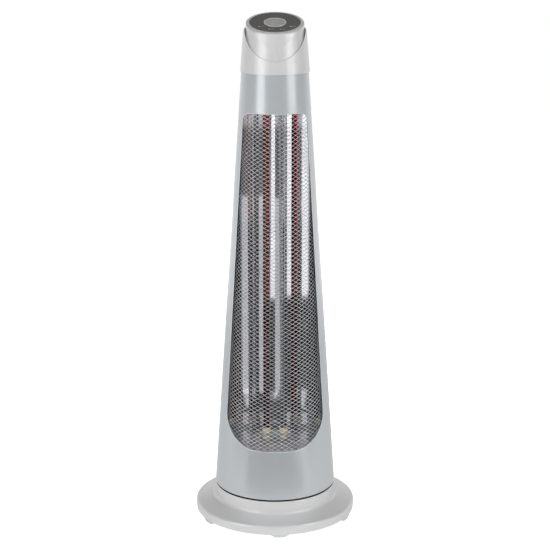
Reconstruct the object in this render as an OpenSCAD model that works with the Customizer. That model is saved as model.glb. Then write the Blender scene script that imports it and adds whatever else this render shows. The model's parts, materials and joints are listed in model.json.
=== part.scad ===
// Oscillating tower heater: a tapered tower with two quartz tubes behind a grille,
// turning on a round base. +Z is up, the front faces -Y, the origin is on the floor
// under the centre of the base. Millimetres.

/* [Base] */
// Diameter of the base disc
base_d = 250; // [244:1:270]
// Wall of the base cover
base_wall = 2.5; // [2:0.1:3]
// Height of the feet
foot_h = 5; // [4:0.5:7]
// Number of feet
foot_count = 6; // [4:1:7]
// Turn of the ring of feet, seen from above
foot_turn = 3.5; // [-10:0.5:10]
// Width of a foot at its root
foot_root_w = 29; // [24:0.5:32]
// Width of a foot at its sole
foot_sole_w = 15; // [13:0.5:18]
// Height of the disc's rim above the feet
disc_h = 14.3; // [13:0.1:17]
// Rise of the disc's top from its rim to its neck
disc_rise = 5.7; // [3:0.1:7]
// Rounding of the disc's rim
rim_round = 4; // [2:0.5:6]
// Fillet between the disc's top and the neck
neck_fillet = 6; // [3:0.5:8]
// Height of the neck above the disc's rim
neck_h = 27.3; // [26:0.1:32]
// Depth of the deck below the neck's edge
deck_sink = 6.6; // [6:0.1:8]
// Thickness of the deck and of the base tray
deck_t = 2.5; // [2:0.1:3]
// Radius of the cord bush's hole in the base's rear wall
cord_hole_r = 4; // [3:0.1:4.5]

/* [Swivel] */
// Gap between the neck and the tower
seam_gap = 2.4; // [2:0.1:3.5]
// Outer radius of the turntable's hollow spindle
spindle_r = 11; // [10:0.5:13]
// Bore radius of the spindle
spindle_bore_r = 8; // [6:0.5:9]
// Running clearance, radial, of spindle and shaft
running_fit = 0.08; // [0.02:0.01:0.1]
// Wall of the swivel bush
bush_wall = 3; // [2:0.5:4]
// Distance of the motor's shaft from the tower's axis
crank_offset = 50; // [48:0.5:52]
// Throw of the crank
crank_throw = 25; // [22:0.5:27]
// Radius of the motor's shaft
shaft_r = 3.5; // [3:0.1:4]
// Radius of the crank's pin
pin_r = 2.5; // [2:0.1:3]
// Play of the pin in the turntable's slot, each side
pin_play = 2.6; // [2.4:0.1:3]
// Radius of the swing motor
motor_r = 24.5; // [22:0.5:26]
// Height of the swing motor
motor_h = 19; // [15:0.5:21]
// Inner radius of the thrust ring
thrust_r = 83; // [82.5:0.5:84]

/* [Tower] */
// Diameter of the tower at its foot
tower_foot_d = 188; // [186:0.5:192]
// Diameter of the tower at its top, under the collar
tower_top_d = 99; // [98:0.5:102]
// Height of the tower's housing
tower_h = 658; // [640:1:700]
// Wall of the housing
wall = 2.5; // [2:0.1:2.8]
// Gap between the two halves of the housing
half_gap = 0.2; // [0.1:0.05:0.4]
// Height of the window's lower edge above the housing's foot
window_low = 76; // [70:1:84]
// Height of the window
window_h = 511; // [480:1:520]
// Half-width of the window, as a share of the housing's radius
window_share = 0.862; // [0.8:0.002:0.88]
// Radius of the window's lower corners
window_low_r = 46; // [30:1:50]
// Radius of the window's upper corners
window_top_r = 12; // [6:1:20]
// Width of the lip behind the window's edge
lip_w = 2.2; // [1.5:0.1:3]
// Depth of the lip, from the housing's face
lip_depth = 5.2; // [4:0.1:5.6]
// Number of vent slots in the lower rear field
low_vents = 13; // [6:1:14]
// Number of vent slots in the upper rear field
top_vents = 11; // [5:1:12]
// Height of a vent slot
vent_h = 3.2; // [2.5:0.1:4]

/* [Grille] */
// Depth of the grille behind the housing's face
grille_depth = 5.5; // [5.4:0.1:6.5]
// Thickness of the grille's sheet
grille_t = 1; // [0.8:0.1:1.4]
// Width of a diamond, centre to centre
mesh_w = 29; // [27:0.5:34]
// Height of a diamond, centre to centre
mesh_h = 17; // [16:0.5:20]
// Width of a strand
strand_w = 1.8; // [1.4:0.1:2.4]
// Half-angle of the grille round the tower
grille_angle = 64; // [62:0.5:66]

/* [Heater] */
// Diameter of a quartz tube
tube_d = 10; // [9:0.5:11]
// Wall of a quartz tube
tube_wall = 1; // [0.8:0.1:1.4]
// Distance of each tube from the middle plane
tube_x = 13.2; // [12:0.1:14]
// Distance of the tubes in front of the axis
tube_front = 20; // [18:0.5:22]
// Diameter of a filament's coil
filament_d = 3; // [2:0.1:4]
// Diameter of a ceramic cap
cap_d = 12.8; // [12.6:0.1:13.6]
// Height of a ceramic cap
cap_h = 17; // [15:0.5:18]
// Depth of the tube's seat in a ceramic cap
cap_seat = 9; // [7:0.5:10]
// Thickness of the shelves and brackets
sheet_t = 1.2; // [1:0.1:1.5]
// Height of the lower shelf's face above the housing's foot
shelf_up = 75; // [73:0.5:75.5]
// Depth of the lower shelf's skirt
shelf_skirt = 15; // [12:0.5:17]
// Height of the upper shelf's face above the window
top_shelf_up = 19.6; // [19:0.2:24]
// Thickness of the reflector's sheet, front to back
reflector_t = 1; // [0.8:0.1:1.2]

/* [Head] */
// Overlap of the collar over the tower's top
collar_lap = 13.5; // [10:0.5:15]
// Diameter of the collar at its foot
collar_foot_d = 103.8; // [103:0.2:105]
// Diameter of the collar where its shoulder starts
collar_top_d = 95.2; // [94.5:0.1:96]
// Height of the collar above the tower
collar_h = 50.5; // [48:0.5:53]
// Height of the collar's round shoulder
shoulder_h = 10; // [6:0.5:12]
// Radius of the scoop in the collar's front
scoop_r = 45; // [44:0.1:46]
// Diameter of the head core at its foot
core_foot_d = 98.4; // [98:0.1:98.6]
// Inward lean of the head core's wall, in mm per mm of height
core_lean = 0.11; // [0.1:0.005:0.12]
// Wall of the head core
core_wall = 2.2; // [2:0.1:2.6]
// Height of the panel's centre above the tower
panel_up = 58.5; // [57:0.5:60]
// Tilt of the panel to the front
panel_tilt = 17.2; // [14:0.2:18]
// Radius of the control panel
panel_r = 38; // [36:0.5:39]
// Thickness of the control panel
panel_t = 2.2; // [1.8:0.1:2.6]
// Radius of the round rim of the head core
core_rim_r = 45; // [44:0.2:46]
// Rounding of the head core's rim
core_round = 3.5; // [2:0.5:4]

/* [Button] */
// Radius of the push button
button_r = 14.6; // [13:0.1:15]
// Width of the bezel round the button
bezel_w = 1.8; // [1.2:0.1:2.4]
// Height of the bezel above the panel
bezel_up = 0.8; // [0.5:0.1:1.2]
// Travel of the button
button_travel = 1.2; // [0.8:0.1:1.2]
// Gap round the button
button_gap = 0.25; // [0.2:0.05:0.4]
// Place of the button's centre, towards the panel's front
button_front = 1.2; // [0:0.1:2]
// Radius of the circle of indicators
lamp_circle_r = 28.3; // [26:0.1:30]
// Radius of an indicator's lens
lens_r = 1.6; // [1.2:0.1:2]

/* [Fasteners] */
// Radius of a screw's shank
screw_r = 1.5; // [1.3:0.05:1.6]
// Radius of a screw's head
screw_head_r = 3; // [2.6:0.1:3.2]
// Clearance of a screw's shank in its hole, radial
screw_fit = 0.2; // [0.15:0.05:0.3]
// Clearance of a screw's shank in the boss that it bites into, radial
screw_bite = 0.05; // [0.02:0.01:0.1]
// Gap between pieces that are seated on each other
seat = 0.1; // [0.05:0.05:0.2]
// Gap between pieces that move past each other
slip = 0.3; // [0.3:0.05:0.5]

/* [Hidden] */
$fn = 96;

silver = [0.78, 0.79, 0.8];
silver_blue = [0.62, 0.66, 0.69];
steel = [0.72, 0.73, 0.75];
white_plastic = [0.9, 0.9, 0.88];
board_green = [0.1, 0.35, 0.2];
ruby = [0.35, 0.03, 0.05];
quartz = [0.75, 0.76, 0.78];
beige = [0.82, 0.76, 0.66];
screw_steel = [0.55, 0.56, 0.58];
dark = [0.12, 0.12, 0.13];

// Base: heights from the floor and radii from the axis.
base_r = base_d / 2;
base_draft = 0.5;                       // lean of the disc's side wall
rim_z = foot_h + disc_h;
neck_z = rim_z + neck_h;                // the neck's upper edge
neck_room = 3.5;                        // room inside the neck round the thrust ring
rib_w = 5;                              // width of the thrust ring and of the rib under it
neck_r = max(tower_foot_d / 2, thrust_r + rib_w + neck_room + base_wall);
neck_draft = 0.8;
shoulder_z = rim_z + disc_rise;         // the disc's top where its fillet starts
deck_z = neck_z - deck_sink;
deck_low = deck_z - deck_t;
rib_h = 5;                              // rib under the thrust ring
hub_low = deck_z - 7;                   // underside of the hub round the bush
hub_wall = 6;
bush_r = spindle_r + running_fit + bush_wall;
pilot_r = screw_r + screw_bite;
tray_r = base_r - base_draft - base_wall - slip;
foot_len = 22;
pad_r = 5.5;
pad_t = 1.8;
pad_proud = 0.8;
pad_circle = base_r - base_draft - foot_len / 2 - 1;
base_boss_r = 3.5;
// Underside of the disc's top at a radius.
cover_slope = (disc_rise + base_wall) / (base_r - rim_round + base_wall / 2 - neck_r);
function cover_low(r) = rim_z - base_wall + (base_r - rim_round - base_wall / 2 - r) * cover_slope;
base_boss_circle = pad_circle - 6;
cord_z = foot_h + 6;
cord_flange_r = cord_hole_r + 1.5;
tray_top = foot_h + deck_t;

// Swivel: the turntable and the crank under it.
tower_z = neck_z + seam_gap;            // the housing's foot, and the turntable's underside
turntable_t = 3;
turntable_top = tower_z + turntable_t;
collar_w = 3;                           // collar round the spindle on the turntable
pillar_r = 3.5;                         // pillars under the power board
crank_z = deck_z + 0.9;
crank_t = 3.5;
crank_hub_r = 8;
crank_hub_top = tower_z - 1.6;
crank_tip_r = pin_r + 3;
slot_w = 2 * (pin_r + pin_play);
motor_top = deck_low - seat;
motor_ear_x = motor_r + 5.5;
motor_ear_t = 2;
motor_boss_r = shaft_r + 2;
nut_h = 5;
nut_top = hub_low - slip;
spindle_low = nut_top - nut_h - 1;
thrust_top = tower_z - slip;
screw_head_h = 1.8;
base_screw_l = 9;                       // screws' lengths under their heads
mount_screw_l = 8.4;
boss_screw_l = 11;
board_screw_l = 5.9;
head_screw_l = 8;
mount_angles = [45, 135, 225, 315];     // turntable screws
mount_circle = 78;
mount_boss_r = 4.2;
mount_boss_h = 12;
boss_web_t = 3;                         // web between such a boss and the wall

// Tower: the housing is a cone.
tower_top = tower_z + tower_h;
taper = (tower_foot_d - tower_top_d) / 2 / tower_h;
function tower_r(z) = tower_foot_d / 2 - (z - tower_z) * taper;
win_z0 = tower_z + window_low;
win_z1 = win_z0 + window_h;
boss_zs = [tower_z + 26, tower_z + 151, tower_z + 281, tower_z + 401, tower_z + 616];
boss_r = 4.5;
boss_sink = 0.6;                        // how far a boss reaches into the wall
boss_in = wall + boss_r - boss_sink;    // boss axis inside the housing's face
boss_front = 9;                         // length of a boss in the front half
boss_web = 5;                           // where a screw's head sits, behind the middle plane
ledge_t = 2;
ledge_w = 9;

// Heater.
shelf_z = tower_z + shelf_up;           // upper face of the lower shelf
shelf_r = tower_r(shelf_z) - grille_depth - grille_t - 1.4;
low_ledge_z = shelf_z - sheet_t - shelf_skirt - seat;
top_shelf_z = win_z1 + top_shelf_up;    // upper face of the upper shelf
top_shelf_r = tower_r(top_shelf_z) - wall - slip;
top_ledge_z = top_shelf_z - sheet_t - seat;
top_ledge_w = 4;
cap_r = cap_d / 2;
tube_r = tube_d / 2;
low_cap_z = shelf_z + seat;
top_cap_z = top_ledge_z - cap_h;        // lower end of the upper caps, under the shelf
tube_low = low_cap_z + cap_h - cap_seat + seat;
tube_top = top_cap_z + cap_seat - seat;
tube_xs = [-tube_x, tube_x];
bracket_w = 2 * tube_x + cap_d + 8;
bracket_d = cap_d + 6;
bracket_up = 7;
reflector_low = shelf_z + seat;
reflector_top = top_ledge_z - ledge_t - 0.8;
// Half of the reflector's plan, from the ridge between the tubes to its outer edge.
reflector_half = [[0, 1], [9.6, 5.8], [15.2, 5.8], [25, 2.3], [36, -4.9], [39.7, -5.2],
    [50, -10.6], [80, -48]];

// Head.
collar_z = tower_top - collar_lap;
collar_top = tower_top + collar_h;
collar_deck_t = 2;
collar_deck_z = tower_top + seat;       // underside of the collar's deck
core_z = collar_deck_z + collar_deck_t + seat;
core_fit = 0.15;
function core_r(z) = core_foot_d / 2 - (z - core_z) * core_lean;
panel_z = tower_top + panel_up;
panel_fit = 0.15;
core_top_wall = 2.2;
under_top = panel_t + core_top_wall;    // inner face of the head's top, below the panel's face
rim_shift = 1.3;                        // the round rim's centre, towards the front
bezel_r = button_r + button_gap + bezel_w;
stem_r = 3.2;
stem_low = under_top + 2.1;
button_t = 1.5;
button_low = panel_t - button_travel - 0.1;
switch_top = stem_low + button_travel + 0.2;
switch_h = 2.5;
board_top = switch_top + switch_h + seat;
board_t = 1.6;
control_r = 30;
lamp_angles = [-54, -17, 17, 54];       // from the panel's front
core_boss_circle = 25;

// A ring with a square section.
module ring(r_out, r_in, h) {
    difference() {
        cylinder(r = r_out, h = h);
        translate([0, 0, -1]) cylinder(r = r_in, h = h + 2);
    }
}

// The tower's cone between two heights, inset from the housing's face.
module cone(z0, z1, inset) {
    translate([0, 0, z0])
        cylinder(r1 = tower_r(z0) - inset, r2 = tower_r(z1) - inset, h = z1 - z0);
}

module cone_shell(z0, z1, out, in) {
    difference() {
        cone(z0, z1, out);
        cone(z0 - 1, z1 + 1, in);
    }
}

// The half-space in front of (side -1) or behind (side 1) the middle plane.
module half_space(side) {
    size = base_d;
    translate([-size / 2, side < 0 ? -size : half_gap / 2, 0])
        cube([size, size - (side < 0 ? half_gap / 2 : 0), tower_top + size]);
}

// A screw along +Z: its shank starts at z = 0 and its head ends it.
module screw(length) {
    cylinder(r = screw_r, h = length, $fn = 32);
    translate([0, 0, length]) cylinder(r = screw_head_r, h = screw_head_h, $fn = 32);
}

// Everything in the panel's own frame: its face is z = 0 and its normal is +Z.
module on_panel() {
    translate([0, 0, panel_z]) rotate([panel_tilt, 0, 0]) children();
}

module at_button() {
    translate([0, -button_front, 0]) children();
}

module at_lamps() {
    for (a = lamp_angles) rotate([0, 0, a]) translate([0, -lamp_circle_r, 0]) children();
}

module at_feet() {
    for (i = [0:foot_count - 1])
        rotate([0, 0, foot_turn + i * 360 / foot_count]) children();
}

module at_base_bosses() {
    at_feet() rotate([0, 0, 180 / foot_count]) translate([0, -base_boss_circle, 0]) children();
}

module at_mounts() {
    for (a = mount_angles) rotate([0, 0, a]) translate([mount_circle, 0, 0]) children();
}

module at_motor_ears() {
    for (s = [-1, 1]) translate([s * motor_ear_x, crank_offset, 0]) children();
}

// Points of an arc of radius r from angle a0 to a1 about a centre.
function arc(c, r, a0, a1, n) = [for (i = [0:n]) let (a = a0 + (a1 - a0) * i / n)
    c + r * [cos(a), sin(a)]];

// Points of a round corner of radius r at b, between a and c.
function corner(a, b, c, r, n = 8) =
    let (u = (a - b) / norm(a - b), v = (c - b) / norm(c - b),
        half = acos(u * v) / 2, sweep = 180 - 2 * half,
        mid = b + (u + v) / norm(u + v) * r / sin(half),
        w0 = b + u * r / tan(half) - mid, w1 = b + v * r / tan(half) - mid)
    [for (i = [0:n]) let (t = i / n)
        mid + (w0 * sin(sweep * (1 - t)) + w1 * sin(sweep * t)) / sin(sweep)];

// Outline of the window in front view (x, z), grown by g on every side.
function window_outline(g) =
    let (z0 = win_z0 - g, z1 = win_z1 + g,
        x0 = window_share * tower_r(z0) + g, x1 = window_share * tower_r(z1) + g,
        p = [[-x0, z0], [x0, z0], [x1, z1], [-x1, z1]],
        r = [window_low_r + g, window_low_r + g, window_top_r + g, window_top_r + g])
    [for (i = [0:3]) each corner(p[(i + 3) % 4], p[i], p[(i + 1) % 4], r[i])];

// A prism along -Y on an outline in front view.
module front_prism(points) {
    rotate([90, 0, 0]) linear_extrude(height = base_r) polygon(points);
}

// ---- Base ----

module base_cover() {
    fillet_mid = [neck_r + neck_draft + neck_fillet, shoulder_z + neck_fillet];
    skin = concat(
        [[base_r - base_draft, foot_h]],
        arc([base_r - rim_round, rim_z - rim_round], rim_round, 0, 75, 6),
        arc(fillet_mid, neck_fillet, 258, 184, 6),
        [[neck_r, neck_z - 1], [neck_r - 1, neck_z]],
        [[neck_r - base_wall, neck_z], [neck_r - base_wall, deck_z]],
        [[thrust_r + rib_w, deck_z], [thrust_r + rib_w, deck_z + rib_h],
            [thrust_r, deck_z + rib_h], [thrust_r, deck_z]],
        [[bush_r, deck_z], [bush_r, hub_low], [bush_r + hub_wall, hub_low],
            [bush_r + hub_wall, deck_low]],
        [[neck_r - base_wall, deck_low], [neck_r - base_wall, shoulder_z],
            [base_r - rim_round - base_wall / 2, rim_z - base_wall],
            [base_r - base_draft - base_wall, rim_z - rim_round],
            [base_r - base_draft - base_wall, foot_h]]);
    color(silver) difference() {
        union() {
            rotate_extrude() polygon(skin);
            at_base_bosses()
                translate([0, 0, tray_top + seat])
                    cylinder(r = base_boss_r, $fn = 32,
                        h = cover_low(base_boss_circle) + base_wall / 2 - tray_top - seat);
        }
        at_base_bosses()
            translate([0, 0, foot_h]) cylinder(r = pilot_r, h = disc_h - base_wall - 1, $fn = 32);
        translate([0, crank_offset, deck_low - 1])
            cylinder(r = motor_boss_r + slip, h = deck_t + 2, $fn = 48);
        at_motor_ears()
            translate([0, 0, deck_low - 1]) cylinder(r = screw_r + screw_fit, h = deck_t + 2, $fn = 32);
        translate([0, base_r + 1, cord_z]) rotate([90, 0, 0])
            cylinder(r = cord_hole_r, h = base_wall + rim_round + 2, $fn = 48);
    }
}

module foot() {
    top = foot_h;
    low = pad_proud;
    intersection() {
        translate([0, -base_r + foot_len, 0]) rotate([90, 0, 0])
            linear_extrude(height = foot_len)
                polygon([[-foot_root_w / 2, top], [foot_root_w / 2, top],
                    [foot_sole_w / 2, low], [-foot_sole_w / 2, low]]);
        cylinder(r = base_r - base_draft, h = top);
    }
}

module base_tray() {
    color(silver) difference() {
        union() {
            translate([0, 0, foot_h - 0.4]) cylinder(r = tray_r, h = deck_t + 0.4);
            at_feet() foot();
        }
        at_feet() translate([0, -pad_circle, -1])
            cylinder(r = pad_r + seat, h = pad_t + seat + 1, $fn = 32);
        at_base_bosses() translate([0, 0, foot_h - 1])
            cylinder(r = screw_r + screw_fit, h = deck_t + 2, $fn = 32);
        translate([0, base_r, cord_z]) rotate([90, 0, 0])
            cylinder(r = cord_flange_r + slip, h = 14, $fn = 48);
    }
}

module foot_pads() {
    color(dark) at_feet() translate([0, -pad_circle, 0]) cylinder(r = pad_r, h = pad_t, $fn = 32);
}

module base_screws() {
    color(screw_steel) at_base_bosses()
        translate([0, 0, foot_h - 0.4 - seat]) mirror([0, 0, 1])
            translate([0, 0, -base_screw_l]) screw(base_screw_l);
}

module cord_bush() {
    color(dark) translate([0, base_r - 1.2, cord_z]) rotate([90, 0, 0]) difference() {
        union() {
            cylinder(r = cord_hole_r - 0.05, h = 6, $fn = 48);
            translate([0, 0, 4.4]) cylinder(r = cord_flange_r, h = 1.6, $fn = 48);
        }
        translate([0, 0, -1]) cylinder(r = cord_hole_r - 1, h = 9, $fn = 48);
    }
}

module tilt_switch() {
    color(white_plastic) translate([-62, -48, tray_top + seat]) {
        cube([20, 14, 8]);
        translate([10, 7, 8]) cylinder(r = 5, h = 3, $fn = 48);
    }
}

module swing_motor() {
    color(steel) difference() {
        union() {
            translate([0, crank_offset, motor_top - motor_h]) cylinder(r = motor_r, h = motor_h);
            translate([-motor_ear_x, crank_offset - 5, motor_top - motor_ear_t])
                cube([2 * motor_ear_x, 10, motor_ear_t]);
            at_motor_ears() translate([0, 0, motor_top - motor_ear_t])
                cylinder(r = 5, h = motor_ear_t, $fn = 48);
            translate([0, crank_offset, motor_top - 1])
                cylinder(r = motor_boss_r, h = deck_t + 1.3, $fn = 48);
        }
        translate([0, crank_offset, motor_top - motor_h + 8])
            cylinder(r = shaft_r + running_fit, h = motor_h + deck_t, $fn = 48);
        at_motor_ears() translate([0, 0, motor_top - motor_ear_t - 1])
            cylinder(r = screw_r + screw_fit, h = motor_ear_t + 2, $fn = 32);
    }
}

module motor_screws() {
    color(screw_steel) at_motor_ears()
        translate([0, 0, deck_z + 0.4]) mirror([0, 0, 1]) screw(deck_t + motor_ear_t + seat * 2 + 0.4);
}

module swivel_bush() {
    color(white_plastic) translate([0, 0, hub_low]) difference() {
        union() {
            cylinder(r = bush_r - 0.05, h = deck_z - hub_low + seat);
            translate([0, 0, deck_z - hub_low + seat]) cylinder(r = bush_r + 2, h = 1.4);
        }
        translate([0, 0, -1]) cylinder(r = spindle_r + running_fit, h = deck_z - hub_low + 4);
    }
}

module thrust_ring() {
    low = deck_z + rib_h + seat;
    color(white_plastic) translate([0, 0, low]) ring(thrust_r + rib_w, thrust_r, thrust_top - low);
}

// ---- Crank ----

// A shaft with a flat, used for the shaft and for the crank's bore.
module flatted(r, h) {
    difference() {
        cylinder(r = r, h = h, $fn = 48);
        translate([r * 0.6, -r - 1, -1]) cube([r, 2 * r + 2, h + 2]);
    }
}

module motor_shaft() {
    low = motor_top - motor_h + 8.5;
    flat_z = crank_z;
    color(steel) translate([0, crank_offset, 0]) {
        translate([0, 0, low]) cylinder(r = shaft_r, h = flat_z - low, $fn = 48);
        translate([0, 0, flat_z]) flatted(shaft_r, crank_hub_top - flat_z);
    }
}

module crank() {
    reach = -crank_throw;
    color(white_plastic) translate([0, crank_offset, crank_z]) difference() {
        union() {
            cylinder(r = crank_hub_r, h = crank_hub_top - crank_z);
            linear_extrude(height = crank_t) {
                polygon([[-crank_hub_r, 0], [crank_hub_r, 0], [crank_tip_r, reach], [-crank_tip_r, reach]]);
                translate([0, reach]) circle(r = crank_tip_r);
            }
            translate([0, reach, 0])
                cylinder(r = pin_r, h = turntable_top + 0.8 - crank_z, $fn = 48);
        }
        translate([0, 0, -1]) flatted(shaft_r + 0.05, crank_hub_top - crank_z + 2);
    }
}

// ---- Turntable ----

module slot_cut(y0, y1, w, z, h) {
    translate([-w / 2, y0, z]) cube([w, y1 - y0, h]);
    for (y = [y0, y1]) translate([0, y, z]) cylinder(r = w / 2, h = h, $fn = 48);
}

// Corners of the power board's row of screws.
board_size = [84, 46];
board_y = -40;
board_z = turntable_top + 8;
module at_board_screws() {
    for (sx = [-1, 1], sy = [-1, 1])
        translate([sx * (board_size[0] / 2 - 5), board_y + sy * (board_size[1] / 2 - 5), 0]) children();
}

module turntable() {
    color(silver) difference() {
        union() {
            translate([0, 0, tower_z])
                cylinder(r = tower_r(turntable_top) - wall - slip, h = turntable_t);
            translate([0, 0, spindle_low]) cylinder(r = spindle_r, h = tower_z - spindle_low + 1);
            translate([0, 0, tower_z]) cylinder(r = spindle_r + collar_w, h = turntable_t + collar_w);
            at_board_screws() translate([0, 0, tower_z + 1])
                cylinder(r = pillar_r, h = board_z - tower_z - 1, $fn = 32);
        }
        translate([0, 0, spindle_low - 1])
            cylinder(r = spindle_bore_r, h = turntable_top - spindle_low + 6);
        slot_cut(crank_offset - crank_throw, crank_offset + crank_throw, slot_w, tower_z - 1, turntable_t + 2);
        at_mounts() {
            translate([0, 0, tower_z - 1]) cylinder(r = screw_r + screw_fit, h = turntable_t + 2, $fn = 32);
            translate([0, 0, tower_z - 1]) cylinder(r = screw_head_r + slip, h = 1 + screw_head_h + seat, $fn = 32);
        }
        at_board_screws() translate([0, 0, board_z - 6]) cylinder(r = pilot_r, h = 8, $fn = 32);
    }
}

module spindle_nut() {
    color(steel) translate([0, 0, nut_top - nut_h]) difference() {
        cylinder(r = bush_r + 4, h = nut_h, $fn = 6);
        translate([0, 0, -1]) cylinder(r = spindle_r + 0.05, h = nut_h + 2);
    }
}

module turntable_screws() {
    color(screw_steel) at_mounts()
        translate([0, 0, tower_z + 0.1]) mirror([0, 0, 1])
            translate([0, 0, -mount_screw_l - screw_head_h]) screw(mount_screw_l);
}

// ---- Housing ----

// The two bosses at one height; each starts just past the middle plane, where it is cut.
module housing_bosses(z, side) {
    low = side < 0 ? -boss_front : -1;
    high = side < 0 ? 1 : tower_r(z);
    for (s = [-1, 1]) translate([s * (tower_r(z) - boss_in), high, z]) rotate([90, 0, 0])
        cylinder(r = boss_r, h = high - low, $fn = 48);
}

// Bosses that take the turntable's screws, each with a web to the wall.
module mount_bosses() {
    z = turntable_top + seat;
    at_mounts() translate([0, 0, z]) {
        cylinder(r = mount_boss_r, h = mount_boss_h, $fn = 32);
        translate([0, -boss_web_t / 2, 0]) cube([tower_foot_d / 2 - mount_circle, boss_web_t, mount_boss_h]);
    }
}

module half_housing(side) {
    intersection() {
        union() {
            cone_shell(tower_z, tower_top, 0, wall);
            intersection() {
                union() {
                    for (z = boss_zs) housing_bosses(z, side);
                    mount_bosses();
                    ring_ledge(low_ledge_z - ledge_t, ledge_w);
                    ring_ledge(top_ledge_z - ledge_t - seat, top_ledge_w);
                }
                cone(tower_z, tower_top, wall / 2);
            }
        }
        half_space(side);
    }
}

// A ledge inside the wall that a shelf lies on.
module ring_ledge(z, w) {
    translate([0, 0, z]) ring(tower_r(z) - wall / 2, tower_r(z) - wall - w, ledge_t);
}

module mount_holes() {
    at_mounts() translate([0, 0, turntable_top]) cylinder(r = pilot_r, h = 9, $fn = 32);
}

module front_housing() {
    lip_low = win_z0 - lip_w - 1;
    lip_top = win_z1 + lip_w + 1;
    color(silver_blue) {
        difference() {
            union() {
                half_housing(-1);
                intersection() {
                    front_prism(window_outline(lip_w));
                    cone_shell(lip_low, lip_top, wall - 0.2, lip_depth);
                }
            }
            front_prism(window_outline(0));
            mount_holes();
            for (z = boss_zs, s = [-1, 1]) translate([s * (tower_r(z) - boss_in), 1, z])
                rotate([90, 0, 0]) cylinder(r = pilot_r, h = boss_front - 1, $fn = 32);
        }
    }
}

// A rounded slot along X through the rear wall.
module vent(z) {
    half = tower_r(z) * 0.55;
    translate([-half, 0, z - vent_h / 2]) cube([2 * half, base_r, vent_h]);
    for (s = [-1, 1]) translate([s * half, base_r, z]) rotate([90, 0, 0])
        cylinder(r = vent_h / 2, h = base_r, $fn = 32);
}

module rear_housing() {
    vent_pitch = 9;
    low_field = tower_z + 90;
    top_field = win_z1 - 12;
    color(silver_blue) difference() {
        half_housing(1);
        mount_holes();
        for (z = boss_zs, s = [-1, 1]) translate([s * (tower_r(z) - boss_in), 0, z]) {
            translate([0, base_r, 0]) rotate([90, 0, 0])
                cylinder(r = screw_head_r + slip, h = base_r - boss_web, $fn = 32);
            translate([0, base_r, 0]) rotate([90, 0, 0])
                cylinder(r = screw_r + screw_fit, h = base_r + 1, $fn = 32);
        }
        for (i = [0:low_vents - 1]) vent(low_field + i * vent_pitch);
        for (i = [0:top_vents - 1]) vent(top_field - i * vent_pitch);
    }
}

module housing_screws() {
    color(screw_steel) for (z = boss_zs, s = [-1, 1])
        translate([s * (tower_r(z) - boss_in), boss_web + seat - boss_screw_l, z]) rotate([-90, 0, 0])
            screw(boss_screw_l);
}

// ---- Grille: a flat expanded sheet, rolled to the tower's cone ----

lean = atan(taper);
grille_low = win_z0 - mesh_h * 0.75;
grille_high = win_z1 + mesh_h * 0.4;
apex_z = tower_z + (tower_foot_d / 2 - grille_depth) / taper;
slant = (apex_z - grille_low) / cos(lean);
mesh_rows = floor((grille_high - grille_low) / cos(lean) / (mesh_h / 2)) - 1;

// Largest column in a row that lies within the grille's half-angle.
function row_end(j) =
    let (v = (j + 1) * mesh_h / 2,
        half = (slant - v) * sin(lean) * grille_angle * PI / 180,
        n = floor(half / (mesh_w / 2)) - 1)
    (n + j) % 2 == 0 ? n : n - 1;
function has_cell(i, j) = j >= 0 && j < mesh_rows && abs(i) <= row_end(j) && (i + j) % 2 == 0;
cells = [for (j = [0:mesh_rows - 1]) for (i = [-row_end(j):2:row_end(j)]) [i, j]];

// A point of the flat sheet (u across, v up), rolled on, at a depth in the sheet.
function rolled(u, v, depth) =
    let (l = norm([u, slant - v]), turn = atan2(u, slant - v) / sin(lean),
        r = l * sin(lean) - depth)
    [r * sin(turn), -r * cos(turn), apex_z - l * cos(lean)];

// Outer and inner corners of one diamond: right, top, left, bottom.
diamond = [[1, 0], [0, 1], [-1, 0], [0, -1]];
hole_share = 1 - strand_w * norm([mesh_w, mesh_h]) / (mesh_w * mesh_h);
function cell_points(c) = [for (depth = [0, grille_t], k = [1, hole_share], d = diamond)
    rolled((c[0] + k * d[0]) * mesh_w / 2, (c[1] + 1 + k * d[1]) * mesh_h / 2, depth)];
// Outer corners are points 0-3 in front and 8-11 behind; the hole's are 4-7 and 12-15.
function cell_faces(c, n) = [for (s = [0:3]) let (t = (s + 1) % 4,
        next = has_cell(c[0] + (s == 0 || s == 3 ? 1 : -1), c[1] + (s < 2 ? 1 : -1)))
    each concat(
        [[n + s, n + 4 + s, n + 4 + t], [n + s, n + 4 + t, n + t]],
        [[n + 8 + s, n + 12 + t, n + 12 + s], [n + 8 + s, n + 8 + t, n + 12 + t]],
        [[n + 4 + s, n + 12 + s, n + 12 + t], [n + 4 + s, n + 12 + t, n + 4 + t]],
        next ? [] : [[n + s, n + t, n + 8 + t], [n + s, n + 8 + t, n + 8 + s]])];

module grille() {
    color(steel) polyhedron(
        points = [for (c = cells) each cell_points(c)],
        faces = [for (k = [0:len(cells) - 1]) each cell_faces(cells[k], 16 * k)]);
}

// ---- Heater ----

module reflector() {
    right = reflector_half;
    left = [for (i = [len(right) - 1:-1:1]) [-right[i][0], right[i][1]]];
    front = concat(left, right);
    back = [for (i = [len(front) - 1:-1:0]) front[i] + [0, reflector_t]];
    color([0.9, 0.9, 0.91]) intersection() {
        translate([0, 0, reflector_low]) linear_extrude(height = reflector_top - reflector_low)
            polygon(concat(front, back));
        cone(reflector_low - 1, reflector_top + 1, grille_depth + grille_t + 1);
    }
}

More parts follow.
